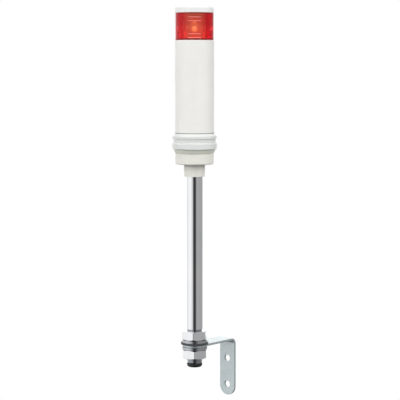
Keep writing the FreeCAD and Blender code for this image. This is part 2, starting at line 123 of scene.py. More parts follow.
def span(tree, value, low, high):
    """Maps a mask that runs from about 0.3 to 0.7 onto low to high."""
    return put(tree, "ShaderNodeMapRange", Value=value, From_Min=0.3, From_Max=0.7, To_Min=low,
               To_Max=high).outputs["Result"]


def between(tree, factor, first, second):
    """Colour between two colours."""
    node = put(tree, "ShaderNodeMix", data_type="RGBA")
    for number, value in ((0, factor), (6, first), (7, second)):
        plug(node.inputs[number], value)
    return node.outputs[2]


def new_material(name):
    """Empty material with its shader, ready for its own nodes."""
    material = bpy.data.materials.new(name)
    material.use_nodes = True
    tree = material.node_tree
    return material, tree, tree.nodes["Principled BSDF"]


def plated(name, light, dark, smooth, rough, across=900.0, along=60.0, stain_size=40.0, depth=0.1,
           metallic=1.0):
    """Plated metal: tone and gloss wander between two values, over fine marks."""
    material, tree, shader = new_material(name)
    marks = put(tree, "ShaderNodeGroup", node_tree=plating_marks, Streak_Across=across,
                Streak_Along=along, Stain_Size=stain_size, Depth=depth).outputs
    stain = span(tree, marks["Stain"], 0.0, 1.0)
    feed(shader, Base_Color=between(tree, stain, light, dark), Metallic=metallic,
         Roughness=span(tree, marks["Streak"], smooth, rough), Normal=marks["Normal"])
    return material


def added(name, data):
    """Object at the origin that shows a mesh, a curve, a lamp or the camera."""
    made = bpy.data.objects.new(name, data)
    bpy.context.scene.collection.objects.link(made)
    return made


def as_mesh(piece):
    """What a piece looks like after its modifiers, as a mesh of its own."""
    final = piece.evaluated_get(bpy.context.evaluated_depsgraph_get())
    return bpy.data.meshes.new_from_object(final)


sheet = 2.3 * MM
reach = 55.0 * MM
arm_top = 36.5 * MM
bend_inner = 4.0 * MM
leg_foot = -25.5 * MM
strip_half = 10.0 * MM
head_r = 12.5 * MM
head_blend = 6.0 * MM
soft_edge = 0.35 * MM
pole_hole_r = 8.4 * MM
screw_hole_r = 3.5 * MM
screw_hole_z = 14 * MM

# The flat strip is measured along from the head's centre: the arm, the bend, then the leg.
bend_middle = bend_inner + sheet / 2
bend_z = arm_top - sheet - bend_inner
arm_end = reach - sheet - bend_inner
leg_start = arm_end + bend_middle * math.pi / 2
wall_middle = leg_start + bend_z
strip_end = wall_middle - leg_foot

zinc = plated("zinc plate", tint(199, 208, 210), tint(187, 197, 199), 0.30, 0.42,
              across=500.0, along=500.0, stain_size=60.0, depth=0.25, metallic=0.7)


def arc(across, along, radius, start, sweep, count, steps):
    """Points of an arc about a centre, at some of its steps out of a count."""
    angles = [start + sweep * k / count for k in steps]
    return [(across + radius * math.cos(angle), along + radius * math.sin(angle))
            for angle in angles]


def bracket_outlines():
    """Flat outline, clockwise from the head, and the three holes, as (across, along) points."""
    across = strip_half + head_blend
    along = math.sqrt((head_r + head_blend) ** 2 - across ** 2)
    meet = math.atan2(along, across)
    outline = arc(0, 0, head_r, meet, -(math.pi + 2 * meet), 96, range(97))
    outline += arc(-across, along, head_blend, -meet, meet, 12, range(1, 13))
    outline += arc(0, strip_end - strip_half, strip_half, math.pi, -math.pi, 64, range(1, 64))
    outline += arc(across, along, head_blend, math.pi + meet, -meet, 12, range(12, 0, -1))
    holes = ((pole_hole_r, 0.0), (screw_hole_r, wall_middle - screw_hole_z),
             (screw_hole_r, wall_middle + screw_hole_z))
    return [outline] + [arc(0, centre, radius, 0, math.tau, 72, range(72))
                        for radius, centre in holes]


def bend_strip(mesh):
    """Folds the flat blank: the arm stays level, the leg drops down the wall."""
    for vertex in mesh.vertices:
        across, along, out = vertex.co
        if along <= arm_end:
            vertex.co = (across, along - reach, arm_top - sheet / 2 + out)
        elif along >= leg_start:
            vertex.co = (across, out - sheet / 2, bend_z - (along - leg_start))
        else:
            turn = (along - arm_end) / bend_middle
            radius = bend_middle + out
            vertex.co = (across, arm_end - reach + radius * math.sin(turn),
                         bend_z + radius * math.cos(turn))


def make_wall_bracket():
    """Blanks the strip with its soft edges and holes, then folds it."""
    blank = bpy.data.curves.new("bracket blank", "CURVE")
    blank.dimensions = "2D"
    blank.fill_mode = "BOTH"
    blank.extrude = sheet / 2 - soft_edge
    blank.bevel_depth = soft_edge
    blank.bevel_resolution = 3
    blank.offset = -soft_edge
    for ring in bracket_outlines():
        spline = blank.splines.new("POLY")
        spline.points.add(len(ring) - 1)
        for point, (across, along) in zip(spline.points, ring):
            point.co = (across, along, 0, 1)
        spline.use_cyclic_u = True
    holder = added("bracket blank", blank)
    mesh = as_mesh(holder)
    bpy.data.objects.remove(holder)
    work = bmesh.new()
    work.from_mesh(mesh)
    bmesh.ops.remove_doubles(work, verts=work.verts, dist=1e-7)
    # Rows across the strip: close together for the bend, a few along the arm and the leg.
    runs = ((arm_end, leg_start, 14, range(15)), (0.0, arm_end, 6, range(1, 6)),
            (leg_start, strip_end, 6, range(1, 6)))
    for start, finish, count, steps in runs:
        for k in steps:
            bmesh.ops.bisect_plane(work, geom=[*work.verts, *work.edges, *work.faces], dist=1e-7,
                                   plane_co=(0, start + (finish - start) * k / count, 0),
                                   plane_no=(0, 1, 0))
    bmesh.ops.recalc_face_normals(work, faces=work.faces)
    work.to_mesh(mesh)
    work.free()
    bend_strip(mesh)
    mesh.name = "wall_bracket_plated"
    mesh.shade_smooth()
    mesh.materials.clear()
    mesh.materials.append(zinc)
    made = added("wall_bracket_plated", mesh)
    made.modifiers.new("even shading", "WEIGHTED_NORMAL").weight = 90
    return made


bracket = make_wall_bracket()
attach(bracket, "bracket")
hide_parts("wall_bracket")

# --- Rubber packing ---------------------------------------------------------------------------
# Black ring between the bracket and the upper washer. Soft moulded rubber, 2 mm thick; the nut
# squeezes it, so that its rim swells a little and keeps water out of the machine.

POLE_Y = -55.0 * MM


def rounded(corners, steps):
    """Section points, in millimetres, from its (radius, height, rounding) corners in order."""
    points = []
    count = len(corners)
    for i in range(count):
        here = Vector(corners[i][:2])
        rounding = corners[i][2]
        if rounding == 0:
            points.append(here)
            continue
        back = (Vector(corners[i - 1][:2]) - here).normalized()
        ahead = (Vector(corners[(i + 1) % count][:2]) - here).normalized()
        half = back.angle(ahead) / 2
        start = here + back * (rounding / math.tan(half))
        finish = here + ahead * (rounding / math.tan(half))
        centre = here + (back + ahead).normalized() * (rounding / math.sin(half))
        # A point just before and just after the rounding keeps the walls flat in the shading.
        points.append(start + back * 0.06)
        first = start - centre
        sweep = first.angle_signed(finish - centre)
        for k in range(steps + 1):
            angle = -sweep * k / steps
            points.append(centre + Vector((first.x * math.cos(angle) - first.y * math.sin(angle),
                                           first.x * math.sin(angle) + first.y * math.cos(angle))))
        points.append(finish + ahead * 0.06)
    return points


def about_pole(radius, angle, height):
    """Point at a radius and height, in millimetres, round the pole's axis."""
    return (radius * MM * math.cos(angle), POLE_Y + radius * MM * math.sin(angle), height * MM)


def keep_skin(work, mesh, sharp):
    """Ends the work on a mesh: faces outwards, smooth, with sharp edges beyond an angle."""
    bmesh.ops.recalc_face_normals(work, faces=work.faces)
    work.to_mesh(mesh)
    work.free()
    mesh.shade_smooth()
    mesh.set_sharp_from_angle(angle=math.radians(sharp))


def skinned(name, loops, material, sharp=32.0, capped=False):
    """Closed skin over loops of points: the last loop joins the first, or both ends are capped."""
    work = bmesh.new()
    rows = [[work.verts.new(point) for point in loop] for loop in loops]
    for low, high in zip(rows, rows[1:] if capped else rows[1:] + rows[:1]):
        count = max(len(low), len(high))
        for k in range(count):
            ahead = (k + 1) % count
            # A loop of one point, on the axis, gives triangles.
            corners = dict.fromkeys((low[k % len(low)], low[ahead % len(low)],
                                     high[ahead % len(high)], high[k % len(high)]))
            if len(corners) > 2:
                work.faces.new(list(corners))
    if capped:
        work.faces.new(rows[0])
        work.faces.new(rows[-1])
    mesh = bpy.data.meshes.new(name)
    keep_skin(work, mesh, sharp)
    mesh.materials.append(material)
    return added(name, mesh)


def turned(name, corners, material, sides=160, steps=5, sharp=32.0):
    """Turned piece on the pole's axis: its section is spun into a closed skin."""
    loops = []
    for radius, height in rounded(corners, steps):
        count = 1 if radius < 1e-6 else sides
        loops.append([about_pole(radius, math.tau * k / sides, height) for k in range(count)])
    return skinned(name, loops, material, sharp)


def skin_marks_group():
    """Moulded skin: fine grain and slow unevenness."""
    group, given, out = new_tree(
        "ShaderNodeTree", "moulded skin", {"Grain Size": 1500.0, "Wave Size": 30.0, "Depth": 0.1},
        {"Tone": "Float", "Normal": "Vector"})
    place = put(group, "ShaderNodeTexCoord").outputs["Object"]
    grain = put(group, "ShaderNodeTexNoise", Vector=place, Scale=given["Grain Size"], Detail=2.0,
                Roughness=0.5)
    wave = put(group, "ShaderNodeTexNoise", Vector=place, Scale=given["Wave Size"], Detail=3.0,
               Roughness=0.55)
    bump = put(group, "ShaderNodeBump", Strength=given["Depth"], Distance=0.1 * MM,
               Height=grain.outputs["Fac"])
    feed(out, Tone=wave.outputs["Fac"], Normal=bump.outputs["Normal"])
    return group


skin_marks = skin_marks_group()


def uneven(tree, light, dark, grain=1500.0, wave=30.0, depth=0.1):
    """The marks of a moulded skin, and its colour, which wanders between two tones."""
    marks = put(tree, "ShaderNodeGroup", node_tree=skin_marks, Grain_Size=grain, Wave_Size=wave,
                Depth=depth).outputs
    return marks, between(tree, span(tree, marks["Tone"], 0.0, 1.0), light, dark)


def moulded(name, light, dark, smooth, rough, grain=1500.0, wave=30.0, depth=0.1):
    """Moulded plastic or rubber in one colour, slightly uneven in tone and gloss."""
    material, tree, shader = new_material(name)
    marks, colour = uneven(tree, light, dark, grain, wave, depth)
    feed(shader, Base_Color=colour, Roughness=span(tree, marks["Tone"], smooth, rough),
         Normal=marks["Normal"])
    return material


rubber = moulded("black rubber", tint(58, 59, 61), tint(68, 69, 70), 0.42, 0.58, grain=2500.0,
                 depth=0.4)

packing = turned("rubber_packing_ring", [
    (8.4, 36.5, 0.15), (14.2, 36.5, 0.5), (14.2, 38.5, 0.5), (8.4, 38.5, 0.15)], rubber, sides=128)
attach(packing, "bracket")
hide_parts("rubber_packing")

# --- Washers ----------------------------------------------------------------------------------
# Two stamped steel washers, bright plated, one above the packing and one under the arm. The
# punch leaves one edge of each rounded and the other crisp.

bright = plated("bright plate", tint(238, 239, 240), tint(226, 228, 231), 0.13, 0.22,
                across=700.0, along=700.0, stain_size=90.0, depth=0.08)

washer_plate = plated("washer plate", tint(194, 196, 198), tint(178, 180, 183), 0.20, 0.32,
                      across=700.0, along=700.0, stain_size=90.0, depth=0.15)

WASHER_THICK = 2.8
for name, node, foot, body in (("upper_washer_plated", "upper_washer", 38.5, "mast"),
                               ("lower_washer_plated", "lower_washer", 31.4, "clamp_washer")):
    washer = turned(name, [(8.4, foot, 0.15), (13.0, foot, 0.25), (13.0, foot + WASHER_THICK, 0.55),
                           (8.4, foot + WASHER_THICK, 0.3)], washer_plate, sides=144)
    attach(washer, body)
    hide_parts(node)

# --- Nuts -------------------------------------------------------------------------------------
# Two hexagon nuts of 24 mm across flats, bar turned, with both ends chamfered so that the flats
# end in shallow arches, and a countersunk bore. Bright plated like the washers.

FLATS_HALF = 12.0


def hexagon_radius(angle, corner_angle):
    """Distance from the axis to the nut's side, with its corners slightly rounded."""
    power = 70.0
    total = 0.0
    for k in range(6):
        facing = math.cos(angle - math.radians(corner_angle + 30 + 60 * k))
        if facing > 0:
            total += facing ** power
    return FLATS_HALF / total ** (1 / power)


def hexagon_nut(name, foot, corner_angle, height=9.5, sides=288):
    """Nut in loops from one end's bore, out over its face, and up its sides to the other end."""
    top = foot + height
    bore = 8.05
    face_r = FLATS_HALF * 0.96
    chamfer = math.tan(math.radians(30))
    crispness = 14
    ends = []
    for z, side in ((foot, 1), (top, -1)):
        rows = [(bore, z + side * 0.75), (bore + 0.35, z + side * 0.35), (bore + 0.7, z),
                (bore + 0.85, z), (face_r - 0.25, z), (face_r - 0.05, z + side * 0.01),
                (face_r + 0.08, z + side * 0.05)]
        # With no radius of its own, a row lies on the chamfer or the flats.
        ends.append(rows + [(None, z + side * (16 + 12 * k) / 100) for k in range(13)])
    loops = []
    for radius, z in ends[0] + ends[1][::-1]:
        cone_r = face_r + min(z - foot, top - z) / chamfer
        loop = []
        for angle in (math.tau * k / sides for k in range(sides)):
            flat_r = hexagon_radius(angle, corner_angle)
            # The chamfer's cone and the flats meet in a soft edge.
            both = math.exp(-flat_r * crispness) + math.exp(-cone_r * crispness)
            loop.append(about_pole(radius or -math.log(both) / crispness, angle, z))
        loops.append(loop)
    return skinned(name, loops, bright, sharp=35)


for name, node, foot, corner_angle, body in (
        ("upper_nut_plated", "upper_nut", 41.3, 3.7, "mast"),
        ("lower_nut_plated", "lower_nut", 21.9, 10.0, "clamp_nut")):
    nut = hexagon_nut(name, foot, corner_angle)
    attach(nut, body)
    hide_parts(node)

# --- Pole -------------------------------------------------------------------------------------
# Drawn steel tube of 17 mm, polished and chrome plated. Each end is turned down and threaded; the
# lower thread is long enough for the clamp, the upper one is inside the adapter.

chrome = plated("pole chrome", tint(240, 240, 241), tint(232, 233, 236), 0.05, 0.10,
                across=1400.0, along=14.0, stain_size=24.0, depth=0.03)
cut_thread = plated("cut thread", tint(206, 208, 212), tint(184, 187, 192), 0.16, 0.30,
                    across=900.0, along=900.0, stain_size=120.0, depth=0.1)

pole = turned("pole_chromed", [
    (5.75, 51.9, 0), (7.9, 51.9, 0), (8.5, 52.5, 0.15), (8.5, 220.0, 0.1), (5.75, 220.0, 0)],
    chrome, sides=192)
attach(pole, "mast")
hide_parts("pole")


def maths(tree, operation, *values, clamp=False):
    """Result of one sum on numbers and other nodes' outputs."""
    node = put(tree, "ShaderNodeMath", operation=operation, use_clamp=clamp)
    for socket, value in zip(node.inputs, values):
        plug(socket, value)
    return node.outputs[0]


def made_real(tree, geometry, material):
    """End of a geometry tree: what it makes, as plain mesh in one material."""
    plain = put(tree, "GeometryNodeRealizeInstances", Geometry=geometry)
    coated = put(tree, "GeometryNodeSetMaterial", Geometry=plain.outputs[0], Material=material)
    return coated.outputs[0]


def thread_tree():
    """Geometry nodes: a grid wound into a threaded tube end, down its outside and up its bore."""
    tree, given, out = new_tree(
        "GeometryNodeTree", "threaded tube end",
        {"Foot": 0.0169, "Top": 0.052, "Outer Radius": 0.008, "Bore Radius": 0.00575,
         "Pitch": 0.0015, "Depth": 0.00082, "Lead In": 0.0008, "Run Out": 0.0012,
         "Material": "Material"}, {"Geometry": "Geometry"})
    calc = partial(maths, tree)
    grid = put(tree, "GeometryNodeMeshGrid", Size_X=1.0, Size_Y=1.0, Vertices_X=97, Vertices_Y=361)
    where = put(tree, "GeometryNodeInputPosition")
    parts = put(tree, "ShaderNodeSeparateXYZ", Vector=where.outputs[0])
    around = calc("ADD", parts.outputs[0], 0.5)
    along = calc("ADD", parts.outputs[1], 0.5)
    # The first part of the grid runs down the thread, a short last part runs back up the bore.
    share = 0.985
    down = calc("DIVIDE", along, share, clamp=True)
    back = calc("DIVIDE", calc("SUBTRACT", along, share), 1 - share, clamp=True)
    foot, top = given["Foot"], given["Top"]
    height = calc("SUBTRACT", top, foot)
    z_down = calc("SUBTRACT", top, calc("MULTIPLY", down, height))
    z = calc("ADD", z_down, calc("MULTIPLY", back, height))
    # One turn of the groove has a narrow crest, two straight flanks and a flat root.
    crest, flank_slope = 0.10, 1.28
    turns = calc("SUBTRACT", calc("DIVIDE", z, given["Pitch"]), around)
    wave = calc("MULTIPLY", calc("PINGPONG", turns, 0.5), 2.0)
    flank = calc("MULTIPLY", calc("SUBTRACT", wave, crest), flank_slope, clamp=True)
    run_out = calc("DIVIDE", calc("SUBTRACT", top, z), given["Run Out"], clamp=True)
    cut = calc("MULTIPLY", calc("MULTIPLY", flank, given["Depth"]), run_out)
    lead = calc("SUBTRACT", given["Lead In"], calc("SUBTRACT", z, foot))
    cut = calc("MAXIMUM", cut, calc("MAXIMUM", lead, 0.0))
    shaft = calc("SUBTRACT", given["Outer Radius"], cut)
    inside = calc("GREATER_THAN", along, share + 0.0005)
    radius = calc("ADD", calc("MULTIPLY", shaft, calc("SUBTRACT", 1.0, inside)),
                  calc("MULTIPLY", given["Bore Radius"], inside))
    angle = calc("MULTIPLY", around, math.tau)
    place = put(tree, "ShaderNodeCombineXYZ", X=calc("MULTIPLY", radius, calc("COSINE", angle)),
                Y=calc("ADD", calc("MULTIPLY", radius, calc("SINE", angle)), POLE_Y), Z=z)
    shape = put(tree, "GeometryNodeSetPosition", Geometry=grid.outputs["Mesh"],
                Position=place.outputs[0])
    weld = put(tree, "GeometryNodeMergeByDistance", Geometry=shape.outputs[0], Distance=1e-6)
    feed(out, Geometry=made_real(tree, weld.outputs[0], given["Material"]))
    return tree


def grown(name, tree, values):
    """Runs a geometry tree, its inputs by name, and keeps what it makes as a plain mesh."""
    holder = added(name + " maker", bpy.data.meshes.new(name + " maker"))
    maker = holder.modifiers.new("maker", "NODES")
    maker.node_group = tree
    for socket in tree.interface.items_tree:
        if socket.name in values:
            maker[socket.identifier] = values[socket.name]
    mesh = as_mesh(holder)
    bpy.data.objects.remove(holder)
    mesh.name = name
    return added(name, mesh)


def close_thread(mesh):
    """Closes the open ring between the thread and the bore, and joins the seam."""
    work = bmesh.new()
    work.from_mesh(mesh)
    bmesh.ops.bridge_loops(work, edges=[edge for edge in work.edges if edge.is_boundary])
    bmesh.ops.remove_doubles(work, verts=work.verts, dist=1e-7)
    keep_skin(work, mesh, 50)


thread = grown("pole_thread", thread_tree(), {"Material": cut_thread})
close_thread(thread.data)
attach(thread, "mast")
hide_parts("pole")

# --- Cable bush -------------------------------------------------------------------------------
# Black rubber bush pushed into the lower end of the pole. Its round-edged flange covers the cut
# end of the tube, and the supply cable leaves through its bore.

bush_rubber = moulded("bush rubber", tint(28, 29, 31), tint(36, 37, 38), 0.40, 0.55, grain=2500.0,
                      depth=0.4)

bush = turned("cable_bush_moulded", [
    (4.0, 12.9, 0.6), (7.9, 12.9, 2.4), (7.9, 16.9, 0.3), (5.7, 16.9, 0), (5.7, 24.9, 0.5),
    (4.0, 24.9, 0.4)], bush_rubber, sides=112, steps=8)
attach(bush, "mast")
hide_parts("cable_bush")

# --- Pole adapter -----------------------------------------------------------------------------
# Moulded cup under the light, cream white, with a tapering neck that grips the pole. A ring nut
# inside pulls the pole's shoulder into the neck, and three screws hold the cup to the collar.

ivory = moulded("cream plastic", tint(236, 235, 228), tint(231, 230, 222), 0.30, 0.38, depth=0.05)

adapter = turned("pole_adapter_moulded", [
    (8.6, 210.0, 0.2), (10.4, 210.0, 0.5), (11.0, 222.7, 0.9), (19.65, 222.7, 1.3),
    (19.65, 233.6, 0.5), (17.95, 233.6, 0), (17.95, 239.5, 0.2), (16.35, 239.5, 0.2),
    (16.35, 225.9, 0.3), (8.1, 225.9, 0.2), (8.1, 220.0, 0), (8.6, 220.0, 0)], ivory, sides=192)
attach(adapter, "mast")
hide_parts("pole_adapter")

# --- Ring nut ---------------------------------------------------------------------------------
# Plated round nut with four spanner slots, inside the cup. It draws the pole's shoulder up hard
# against the neck. Turned from bar, in the same bright plate as the hexagon nuts.


def coat(node, material):
    """Gives a piece of the frame its finish."""
    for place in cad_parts[node].material_slots:
        place.material = material


coat("ring_nut", bright)

# --- Base screws ------------------------------------------------------------------------------
# Three plated pan-head screws, up through the foot of the cup into the collar. Their heads lie
# in round sinks in the cup's foot, and each has a cross recess.

screw_plate = plated("screw plate", tint(206, 208, 211), tint(182, 185, 190), 0.2, 0.34, depth=0.1)
SCREW_RING = 13.275 * MM
SCREW_TURN = math.radians(11.0)


def carve(piece, cutter):
    """Takes the cutter's space out of the piece for good."""
    cut = piece.modifiers.new("cut", "BOOLEAN")
    cut.object = cutter
    cut.solver = "EXACT"
    mesh = as_mesh(piece)
    piece.modifiers.remove(cut)
    piece.data = mesh
    bpy.data.objects.remove(cutter)
    mesh.set_sharp_from_angle(angle=math.radians(30))


def to_origin(piece):
    """Moves a piece from the pole's axis to the origin's, ready to be copied round the pole."""
    piece.data.transform(Matrix.Translation((0, -POLE_Y, 0)))
    return piece


def cross_loop(arm, half, z):
    """Outline of a cross recess at one level, in millimetres."""
    corners = []
    for k in range(4):
        c, s = math.cos(k * math.pi / 2), math.sin(k * math.pi / 2)
        for x, y in ((half, -half), (arm, -half), (arm, half)):
            corners.append((x * MM * c - y * MM * s, x * MM * s + y * MM * c, z * MM))
    return corners


def pan_head_screw():
    """One screw, head down, standing at the origin."""
    made = to_origin(turned("screw maker", [
        (0, 222.7, 0), (2.1, 222.7, 0.5), (2.775, 223.6, 0.4), (2.775, 224.7, 0.12), (1.5, 224.7, 0.1),
        (1.5, 234.9, 0.3), (0, 234.9, 0)], screw_plate, sides=48))
    carve(made, skinned("recess cutter", [
        cross_loop(1.5, 0.33, 222.6), cross_loop(1.25, 0.28, 223.3), cross_loop(0.6, 0.2, 224.0)],
        screw_plate, capped=True))
    return made


def ring_tree():
    """Geometry nodes: copies of one piece round the pole's axis, in rows one above the other."""
    tree, given, out = new_tree(
        "GeometryNodeTree", "copies round the axis",
        {"Piece": "Object", "Count": 3, "Radius": 0.01, "Turn": 0.0, "Rows": 1, "Row Step": 0.0,
         "Middle": "Vector", "Material": "Material"}, {"Geometry": "Geometry"})
    piece = put(tree, "GeometryNodeObjectInfo", Object=given["Piece"])
    circle = put(tree, "GeometryNodeMeshCircle", Vertices=given["Count"], Radius=given["Radius"])
    number = put(tree, "GeometryNodeInputIndex")
    share = maths(tree, "DIVIDE", number.outputs[0], given["Count"])
    facing = put(tree, "ShaderNodeCombineXYZ", Z=maths(tree, "MULTIPLY", share, math.tau))
    ring = put(tree, "GeometryNodeInstanceOnPoints", Points=circle.outputs["Mesh"],
               Instance=piece.outputs["Geometry"], Rotation=facing.outputs[0])
    turn = put(tree, "ShaderNodeCombineXYZ", Z=given["Turn"])
    placed = put(tree, "GeometryNodeTransform", Geometry=ring.outputs[0], Rotation=turn.outputs[0],
                 Translation=given["Middle"])
    step = put(tree, "ShaderNodeCombineXYZ", Z=given["Row Step"])
    column = put(tree, "GeometryNodeMeshLine", Count=given["Rows"], Offset=step.outputs[0])
    rows = put(tree, "GeometryNodeInstanceOnPoints", Points=column.outputs[0],
               Instance=placed.outputs[0])
    feed(out, Geometry=made_real(tree, rows.outputs[0], given["Material"]))
    return tree


copies = ring_tree()


def ringed(name, piece, material, count, radius, turn, middle, rows=1, step=0.0):
    """Copies of a piece round the pole's axis; the piece itself goes."""
    made = grown(name, copies, {"Piece": piece, "Material": material, "Count": count, "Radius": radius,
                                "Turn": turn, "Middle": middle, "Rows": rows, "Row Step": step})
    bpy.data.objects.remove(piece)
    made.data.set_sharp_from_angle(angle=math.radians(30))
    return made


screws = ringed("base_screws_plated", pan_head_screw(), screw_plate, 3, SCREW_RING, SCREW_TURN,
                (0, POLE_Y, 0))
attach(screws, "mast")
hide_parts("base_screws")

sink = to_origin(turned("sink cutter", [
    (0, 222.5, 0), (3.4, 222.5, 0), (3.075, 222.95, 0), (3.075, 224.7, 0), (1.8, 224.7, 0),
    (1.8, 227.0, 0), (0, 227.0, 0)], ivory, sides=48))
carve(adapter, ringed("sinks", sink, ivory, 3, SCREW_RING, SCREW_TURN, (0, POLE_Y, 0)))

# --- Base collar ------------------------------------------------------------------------------
# White moulding between the cup and the body: a flared flange over a groove, then a rounded ring
# and a skirt that slopes in to the cup. Glossier and a little cooler in tone than the body.


def faded(tree, value, start, finish, low=0.0, high=1.0):
    """Low until a value reaches its start and high from its finish, with a soft change between."""
    return put(tree, "ShaderNodeMapRange", interpolation_type="SMOOTHSTEP", Value=value,
               From_Min=start, From_Max=finish, To_Min=low, To_Max=high).outputs["Result"]


def height_in(tree):
    """Height of the point that is shaded, above the middle of the two wall screws."""
    place = put(tree, "ShaderNodeTexCoord").outputs["Object"]
    return put(tree, "ShaderNodeSeparateXYZ", Vector=place).outputs["Z"]


def tinged(material, colour, start, finish):
    """The same material, with another colour painted in from one height to another; used for painted
    shade, and on the skirt also a painted reflection.
    """
    tree = material.node_tree
    base = tree.nodes["Principled BSDF"].inputs["Base Color"]
    share = faded(tree, height_in(tree), start, finish)
    plug(base, between(tree, share, base.links[0].from_socket, colour))
    return material


cool_white = moulded("cool white plastic", tint(240, 241, 239), tint(236, 237, 235), 0.22, 0.30,
                     depth=0.04)
collar_white = moulded("collar white plastic", tint(226, 228, 226), tint(222, 224, 222), 0.24, 0.32,
                       depth=0.04)

# Painted shade and painted reflection: under the ring, the skirt is painted darker and creamier, for its
# shade and the cream cup's light on it.
tinged(collar_white, tint(218, 219, 207), start=0.2385, finish=0.2375)

collar = turned("base_collar_moulded", [
    (17.95, 233.6, 0), (19.75, 233.6, 0.7), (21.5, 237.7, 0.6), (22.9, 238.5, 0.5), (22.9, 244.6, 1.0),
    (21.7, 244.6, 0.25), (21.7, 248.9, 0.15), (22.65, 248.9, 0.25), (22.65, 251.5, 1.4),
    (20.5, 254.1, 0.4), (18.05, 254.1, 0), (18.05, 242.1, 0.3), (9.5, 242.1, 0.2), (9.5, 239.6, 0.2),
    (17.95, 239.6, 0)], collar_white, sides=224, steps=6)
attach(collar, "mast")
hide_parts("base_collar")

# --- Tie screws -------------------------------------------------------------------------------
# Two long plated screws from the collar's floor up to the cap. They pull body, light source, lens
# and cap together, and their shanks show dimly through the lens.

coat("tie_screws", screw_plate)

# --- Body tube --------------------------------------------------------------------------------
# Plain moulded tube of 40 mm, warm white with a soft gloss. It holds the driver board; a thin
# grey seal under it shows as a dark line above the collar.

warm_white = moulded("warm white plastic", tint(241, 240, 236), tint(237, 236, 232), 0.27, 0.34,
                     depth=0.04)
grey_rubber = moulded("grey seal", tint(152, 151, 146), tint(140, 139, 134), 0.6, 0.7, depth=0.3)

tube = turned("body_tube_moulded", [
    (15.95, 248.7, 0.2), (17.95, 248.7, 0.4), (17.95, 254.7, 0), (20.0, 254.7, 0.35),
    (20.0, 348.5, 0.35), (17.2, 348.5, 0), (17.2, 350.9, 0.2), (14.7, 350.9, 0.2), (14.7, 347.0, 0),
    (9.5, 347.0, 0.2), (9.5, 345.0, 0.2), (18.0, 342.0, 0.5), (18.0, 256.7, 0.5),
    (15.95, 254.7, 0)], warm_white, sides=192)
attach(tube, "mast")
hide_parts("body_tube")

seal = turned("body_seal_ring", [
    (18.05, 254.1, 0), (20.05, 254.1, 0.1), (20.05, 254.7, 0.1), (18.05, 254.7, 0)], grey_rubber)
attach(seal, "mast")
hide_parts("body_seal")

# --- Driver board -----------------------------------------------------------------------------
# Green circuit board between the tube's guides, with a screw terminal at its foot, five parts and
# a capacitor in a dark sleeve. Its solder mask is glossy over slightly raised tracks.

BLACK = (0, 0, 0, 1)
WHITE = (1, 1, 1, 1)
BOARD_TURN = math.radians(41.0)


def board_tracks_group():
    """Tracks under a solder mask: straight runs of two spacings, with slightly raised edges."""
    group, given, out = new_tree(
        "ShaderNodeTree", "board tracks", {"Track Size": 350.0, "Depth": 0.3},
        {"Track": "Float", "Normal": "Vector"})
    place = put(group, "ShaderNodeTexCoord").outputs["Object"]
    flat = put(group, "ShaderNodeMapping", vector_type="POINT", Vector=place,
               Rotation=(math.radians(90), 0, -BOARD_TURN))
    runs = put(group, "ShaderNodeTexBrick", offset=0.35, offset_frequency=3, squash=0.6,
               squash_frequency=2, Vector=flat.outputs["Vector"], Scale=given["Track Size"],
               Mortar_Size=0.12, Mortar_Smooth=0.3, Color1=BLACK, Color2=BLACK, Mortar=WHITE)
    bump = put(group, "ShaderNodeBump", Strength=given["Depth"], Distance=0.1 * MM,
               Height=runs.outputs["Color"])
    feed(out, Track=runs.outputs["Color"], Normal=bump.outputs["Normal"])
    return group


board_tracks = board_tracks_group()


def circuit_board(name, mask_colour, track_colour, track_size):
    """Solder mask in one colour, glossy, with the tracks under it in another."""
    material, tree, shader = new_material(name)
    tracks = put(tree, "ShaderNodeGroup", node_tree=board_tracks, Track_Size=track_size).outputs
    feed(shader, Base_Color=between(tree, tracks["Track"], mask_colour, track_colour),
         Normal=tracks["Normal"], Roughness=0.28)
    return material


coat("driver_board", circuit_board("green board", tint(30, 84, 52), tint(52, 116, 70), 350.0))
coat("terminal_block", moulded("terminal green", tint(52, 104, 74), tint(44, 92, 64), 0.4, 0.52,
                               depth=0.2))
coat("board_chips", moulded("chip black", tint(34, 34, 36), tint(44, 44, 46), 0.45, 0.6,
                            grain=4000.0, depth=0.3))
coat("capacitor", moulded("sleeve black", tint(34, 38, 52), tint(28, 31, 42), 0.22, 0.3, depth=0.05))

# --- Light source -----------------------------------------------------------------------------
# White holder with a square post behind the lens. A white circuit board on each of its four sides
# carries three packages, each a white frame round a bowl of yellow phosphor.

SOURCE_Z = 361.4 * MM


def painted_spill_group():
    """Painted light gathered round the middle of the source, fading between two distances from it."""
    group, given, out = new_tree(
        "ShaderNodeTree", "light spill", {"Near": 0.007, "Far": 0.010}, {"Glow": "Float"})
    away = put(group, "ShaderNodeVectorMath", operation="DISTANCE")
    plug(away.inputs[0], put(group, "ShaderNodeTexCoord").outputs["Object"])
    plug(away.inputs[1], (0, POLE_Y, SOURCE_Z))
    feed(out, Glow=faded(group, away.outputs["Value"], given["Near"], given["Far"], 1.0, 0.0))
    return group


painted_spill = painted_spill_group()


def painted_glow(material, near, far, strength, colour=tint(205, 238, 190)):
    """The same material with a painted glow on it: emission for the source's light spilling onto it."""
    tree = material.node_tree
    spill = put(tree, "ShaderNodeGroup", node_tree=painted_spill, Near=near, Far=far)
    feed(tree.nodes["Principled BSDF"], Emission_Strength=strength,
         Emission_Color=between(tree, spill.outputs["Glow"], BLACK, colour))
    return material


